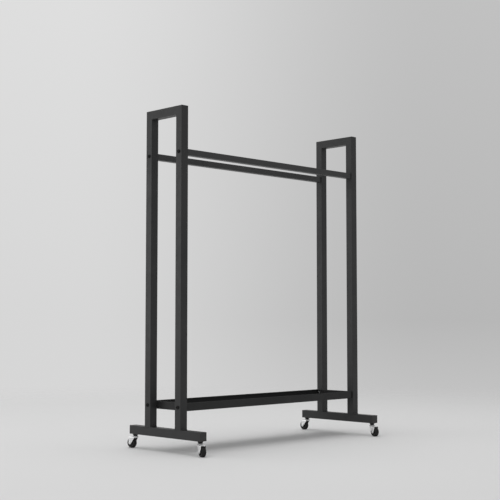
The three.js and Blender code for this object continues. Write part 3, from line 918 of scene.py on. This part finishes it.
def fork_plan(tail):
    """The plan outline in X and Y: round at the swivel, with rounded corners at the tail."""
    along, across = tail - FORK_TAIL_CORNER, FORK_HALF - FORK_TAIL_CORNER
    return arc((0, 0), FORK_HALF, math.pi / 2, 1.5 * math.pi, 3 * CORNER_STEPS) + \
        arc((along, -across), FORK_TAIL_CORNER, -math.pi / 2, 0, CORNER_STEPS) + \
        arc((along, across), FORK_TAIL_CORNER, 0, math.pi / 2, CORNER_STEPS)


def fork_section():
    """The end outline in Y and Z: the sheet's two legs and the crown that it bends into."""
    inner, inner_bend = FORK_HALF - FORK_SHEET, FORK_BEND - FORK_SHEET
    return rounded([
        (-FORK_HALF, 0),
        (-inner, 0),
        (-inner, crown_underside, inner_bend),
        (inner, crown_underside, inner_bend),
        (inner, 0),
        (FORK_HALF, 0),
        (FORK_HALF, crown_top, FORK_BEND),
        (-FORK_HALF, crown_top, FORK_BEND),
    ], CORNER_STEPS)


def caster_fork():
    """One sheet bent into a crown and two legs: what its side, plan and end outlines all enclose."""
    tail = TRAIL + FORK_TAIL
    reach = tail + OVERRUN
    side = moved(prism(fork_side(tail), -FORK_HALF - OVERRUN, FORK_HALF + OVERRUN), turn(90, "X"))
    plan = prism(fork_plan(tail), -OVERRUN, crown_top + OVERRUN)
    section = moved(prism(fork_section(), -reach, reach), turn(90, "X"), turn(90, "Z"))
    swivel_hole = rod(STEM_RADIUS + SEAT_GAP, crown_underside - OVERRUN, crown_top + OVERRUN)
    axle_hole = moved(rod(AXLE_RADIUS + SEAT_GAP, -reach, reach), turn(90, "X"),
                      shift(TRAIL, 0, axle_height))
    sheet = combined("INTERSECT", section, plan, side)
    return eased(combined("DIFFERENCE", sheet, swivel_hole, axle_hole), FINE_EDGE)


def about_axle(shape):
    shape.transform(shift(TRAIL, 0, axle_height) @ turn(90, "X"))
    return shape


def mirrored(half):
    """A profile through the half and its mirror image across the wheel's middle."""
    return [(radius, -along, *rest) for radius, along, *rest in reversed(half)] + half


def caster_axle():
    head = FORK_HALF + SEAT_GAP
    return about_axle(turned(rounded(mirrored([
        (AXLE_RADIUS, head),
        (AXLE_HEAD_RADIUS, head, FINE_EDGE),
        (AXLE_HEAD_RADIUS, head + AXLE_HEAD_HEIGHT, AXLE_HEAD_ROUNDING),
        (0, head + AXLE_HEAD_HEIGHT),
    ])), CASTER_STEPS))


def caster_wheel():
    rim = axle_height - TYRE_THICKNESS - SEAT_GAP
    inside = rim - RIM_THICKNESS
    wheel = turned(rounded(mirrored([
        (rim, RIM_HALF_WIDTH, BROKEN_EDGE),
        (inside, RIM_HALF_WIDTH, SOFT_EDGE),
        (inside - RIM_DRAFT, WEB_HALF, WEB_FILLET),
        (HUB_RADIUS, WEB_HALF, WEB_FILLET),
        (HUB_RADIUS, HUB_HALF, SOFT_EDGE),
        (AXLE_RADIUS + SEAT_GAP, HUB_HALF),
    ])), CASTER_STEPS, closed=True)
    start, end = HUB_RADIUS - RIB_IN_HUB, inside + RIB_IN_RIM
    outline = [(start, -RIB_HALF_THICKNESS), (end, -RIB_HALF_THICKNESS),
               (end, RIB_HALF_THICKNESS), (start, RIB_HALF_THICKNESS)]
    ribs = [moved(prism(outline, -RIB_HALF_WIDTH, RIB_HALF_WIDTH), turn(360 * i / RIBS, "Z"))
            for i in range(RIBS)]
    return about_axle(combined("UNION", wheel, *ribs))


def caster_tyre():
    inside = axle_height - TYRE_THICKNESS
    return about_axle(turned(rounded(mirrored([
        (axle_height - TYRE_LINE, 0),
        (axle_height, TYRE_LINE),
        (axle_height, TYRE_HALF_WIDTH, TYRE_SHOULDER),
        (inside, TYRE_HALF_WIDTH, BROKEN_EDGE),
    ])), TYRE_STEPS, closed=True))


# Each caster piece's shape, its slot and what carries it
CASTER_PIECES = {
    "stem": (caster_stem(), "zinc_steel", "stand"),
    "collar": (caster_collar(), "collar_plastic", "stand"),
    "fork": (caster_fork(), "caster_steel", "caster"),
    "axle": (caster_axle(), "caster_steel", "caster"),
    "wheel": (caster_wheel(), "wheel_plastic", "wheel"),
    "tyre": (caster_tyre(), "tyre_rubber", "wheel"),
}


def add_caster(end, face):
    corner = f"{end}_{face}"
    swivel, roll = joint_place(f"{corner}_swivel"), joint_place(f"{corner}_roll")
    heading = math.atan2(roll.y - swivel.y, roll.x - swivel.x)
    place = shift(swivel.x, swivel.y) @ Matrix.Rotation(heading, 4, "Z")
    for kind, (shape, slot, carrier) in CASTER_PIECES.items():
        body = carrier if carrier == "stand" else f"{corner}_{carrier}"
        add_piece(f"{corner}_caster_{kind}_fine", moved(shape, place), slot, body,
                  replaces=f"{corner}_caster_{kind}")


# The whole stand

for end in ENDS:
    for face in FACES:
        add_post(end, face)
        add_mitre_welds(end, face)
        add_foot_run(end, face)
    add_top_bar(end)
    add_foot_bar(end)

for face in FACES:
    add_rail(face)

add_tray()

for end in ENDS:
    for face in FACES:
        add_fasteners(end, face)
        add_foot_plug(end, face)
        add_caster(end, face)

# The inserts in the rails and the nuts in the foot bars stay as they are, zinc plated
for name, piece in frame["nodes"].items():
    if name.endswith(("rail_insert", "foot_nut")):
        piece.data.materials.clear()
        piece.data.materials.append(MATERIALS["zinc_steel"])


# Studio: a pale floor that thins out into an even pale surround, brighter at the stand's back left

SURROUND_TURN = math.radians(45)
BRIGHT_SIDE = Vector((-math.sin(SURROUND_TURN), math.cos(SURROUND_TURN), 0))
HORIZON_DEPTH = 0.11
FLOOR_LEVEL = 0.74
FLOOR_RADIUS = 6.0
FLOOR_FADE = (0.45, 3.2)


def floor_material():
    paint = Shader("pale_floor", roughness=0.9, specular=0.1)
    paint.color(grey(FLOOR_LEVEL))
    away = paint.tree.nodes.new("ShaderNodeVectorMath")
    away.operation = "LENGTH"
    paint.tree.links.new(paint.place, away.inputs[0])
    fade = paint.node("ShaderNodeMapRange", Value=away.outputs["Value"],
                      From_Min=FLOOR_FADE[0], From_Max=FLOOR_FADE[1])
    fade.interpolation_type = "SMOOTHSTEP"
    clear = paint.tree.nodes.new("ShaderNodeBsdfTransparent")
    blend = paint.tree.nodes.new("ShaderNodeMixShader")
    paint.tree.links.new(fade.outputs["Result"], blend.inputs["Fac"])
    paint.tree.links.new(paint.surface.outputs["BSDF"], blend.inputs[1])
    paint.tree.links.new(clear.outputs["BSDF"], blend.inputs[2])
    paint.tree.links.new(blend.outputs["Shader"], paint.tree.nodes["Material Output"].inputs["Surface"])
    return paint.material


def add_floor():
    shape = bmesh.new()
    bmesh.ops.create_circle(shape, cap_ends=True, segments=FLOOR_STEPS, radius=FLOOR_RADIUS)
    mesh = bpy.data.meshes.new("floor")
    shape.to_mesh(mesh)
    shape.free()
    mesh.materials.append(floor_material())
    floor = bpy.data.objects.new("floor", mesh)
    bpy.context.scene.collection.objects.link(floor)


def add_area_light(name, power, width, place, target):
    data = bpy.data.lights.new(name, "AREA")
    data.energy = power
    data.shape = "SQUARE"
    data.size = width
    lamp = bpy.data.objects.new(name, data)
    lamp.location = place
    lamp.rotation_euler = (Vector(target) - Vector(place)).to_track_quat("-Z", "Y").to_euler()
    bpy.context.scene.collection.objects.link(lamp)


def add_surround(dark, bright, turn_width, rise, lift):
    """Even levels on either side with a soft turn between them, a little brighter further up. The lift is
    what the dark side gains just under the horizon, where it takes over from the floor."""
    world = bpy.data.worlds.new("studio")
    bpy.context.scene.world = world
    world.use_nodes = True
    tree = world.node_tree
    direction = tree.nodes.new("ShaderNodeTexCoord").outputs["Generated"]

    def graded(axis, low, high, first, last):
        """A level that goes from first to last as the direction along the axis goes from low to high."""
        share = tree.nodes.new("ShaderNodeVectorMath")
        share.operation = "DOT_PRODUCT"
        share.inputs[1].default_value = axis
        tree.links.new(direction, share.inputs[0])
        level = tree.nodes.new("ShaderNodeMapRange")
        tree.links.new(share.outputs["Value"], level.inputs["Value"])
        level.inputs["From Min"].default_value, level.inputs["From Max"].default_value = low, high
        level.inputs["To Min"].default_value, level.inputs["To Max"].default_value = first, last
        return level

    downward = graded(UPWARD, -HORIZON_DEPTH, 0, dark + lift, dark)
    across = graded(BRIGHT_SIDE, -turn_width, turn_width, dark, bright)
    upward = graded(UPWARD, 0, 1, 0, rise)
    across.interpolation_type = "SMOOTHSTEP"
    tree.links.new(downward.outputs["Result"], across.inputs["To Min"])
    total = tree.nodes.new("ShaderNodeMath")
    total.operation = "ADD"
    for part, socket in zip((across, upward), total.inputs):
        tree.links.new(part.outputs["Result"], socket)
    tree.links.new(total.outputs["Value"], tree.nodes["Background"].inputs["Color"])
    tree.nodes["Background"].inputs["Strength"].default_value = 1.0


add_floor()
add_surround(dark=0.475, bright=0.675, turn_width=0.17, rise=0.2, lift=0.11)
add_area_light("overhead", power=30, width=2.6, place=(-0.5, 0.1, 3.6), target=(0, 0, 0.3))
add_area_light("side", power=7, width=1.4, place=(-1.9, 2.4, 0.85), target=(0, 0, 0.4))

bpy.context.scene.view_settings.view_transform = "Standard"
